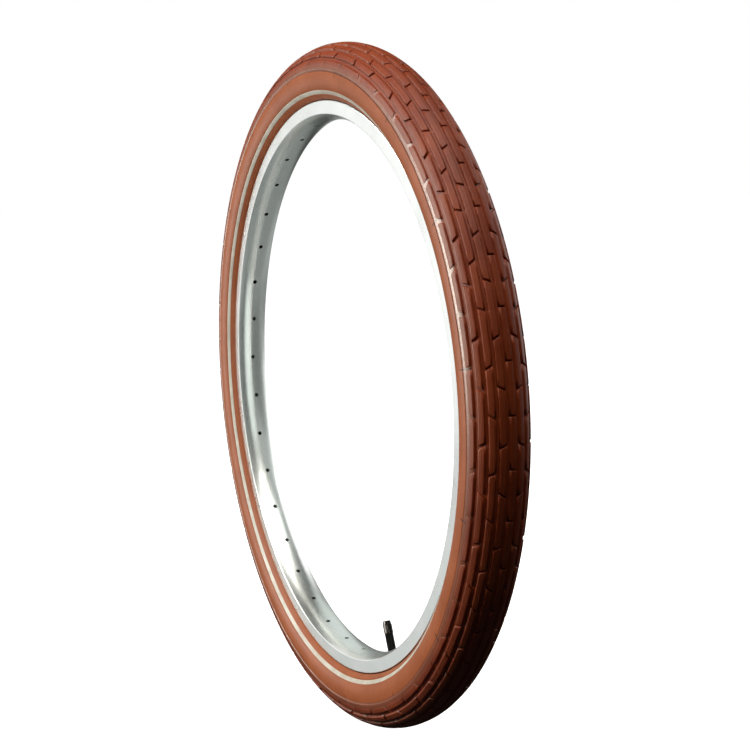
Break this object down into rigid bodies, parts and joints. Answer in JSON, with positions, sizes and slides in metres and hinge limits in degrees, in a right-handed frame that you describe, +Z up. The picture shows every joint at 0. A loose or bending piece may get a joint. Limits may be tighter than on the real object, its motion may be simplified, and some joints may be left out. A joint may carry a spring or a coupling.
{
  "type": "bicycle tyre on rim",
  "caption": "Inflated bicycle tyre with long brick-shaped tread blocks, mounted on an empty silver spoked-wheel rim, with tube, screw-capped valve and sprung valve core.",
  "frame": {"origin": "centre of the wheel: on the axle line, midway between the rim's two sides", "axes": "+Y along the axle line to the left side, +Z up with the wheel standing on its tread, +X forward; the valve stands 27.3 degrees forward of the lowest point"},
  "size_m": [0.681, 0.0546, 0.681],
  "materials": {
    "tread_rubber": "matt brown rubber, moulded in long brick-shaped blocks",
    "sidewall_rubber": "smooth satin brown rubber",
    "nylon_ply": "rubbered nylon cord",
    "belt_rubber": "tough natural rubber belt",
    "bead_steel": "coated steel wire",
    "chafer_fabric": "black woven nylon",
    "reflective_film": "pale grey reflective film",
    "rim_aluminium": "satin silver anodised extrusion",
    "tape_cloth": "woven cotton tape",
    "butyl": "black butyl with talc",
    "valve_rubber": "black moulded rubber",
    "valve_brass": "turned brass",
    "core_ptfe": "smooth sealing plastic",
    "core_steel": "plated steel",
    "seal_rubber": "black rubber",
    "cap_plastic": "black moulded plastic, satin"
  },
  "bodies": {
    "wheel": {"tread": "tread_rubber", "sidewall_left": "sidewall_rubber", "sidewall_right": "sidewall_rubber", "casing": "nylon_ply", "puncture_belt": "belt_rubber", "bead_wire_left": "bead_steel", "bead_wire_right": "bead_steel", "chafer_left": "chafer_fabric", "chafer_right": "chafer_fabric", "reflective_stripe_left": "reflective_film", "reflective_stripe_right": "reflective_film", "rim": "rim_aluminium", "rim_joint_sleeve": "rim_aluminium", "rim_tape": "tape_cloth", "inner_tube": "butyl", "valve_patch": "butyl", "valve_stem_rubber": "valve_rubber", "valve_stem_insert": "valve_brass", "core_body": "valve_brass", "core_gasket": "core_ptfe", "core_spring": "core_steel"},
    "core_plunger": {"core_pin": "core_steel", "core_seal": "seal_rubber"},
    "cap_washer": {"cap_gasket": "seal_rubber"},
    "cap": {"valve_cap": "cap_plastic"}
  },
  "joints": [
    {"name": "core_press", "type": "slide", "parent": "wheel", "child": "core_plunger", "axis": [0.4587, 0, -0.8886], "range_m": [0, 0.0012], "stiffness_N_per_m": 1200, "springref_m": -0.002, "deforming": ["core_spring"]},
    {"name": "cap_lift", "type": "slide", "parent": "wheel", "child": "cap_washer", "axis": [-0.4587, 0, 0.8886], "range_m": [0, 0.00714]},
    {"name": "cap_turn", "type": "hinge", "parent": "cap_washer", "child": "cap", "pos_m": [0.11154, 0, -0.21611], "axis": [-0.4587, 0, 0.8886], "range_deg": [0, 3240]}
  ],
  "couplings": [
    {"joint": "cap_turn", "follows": "cap_lift", "rad_per_m": 7915.8}
  ]
}
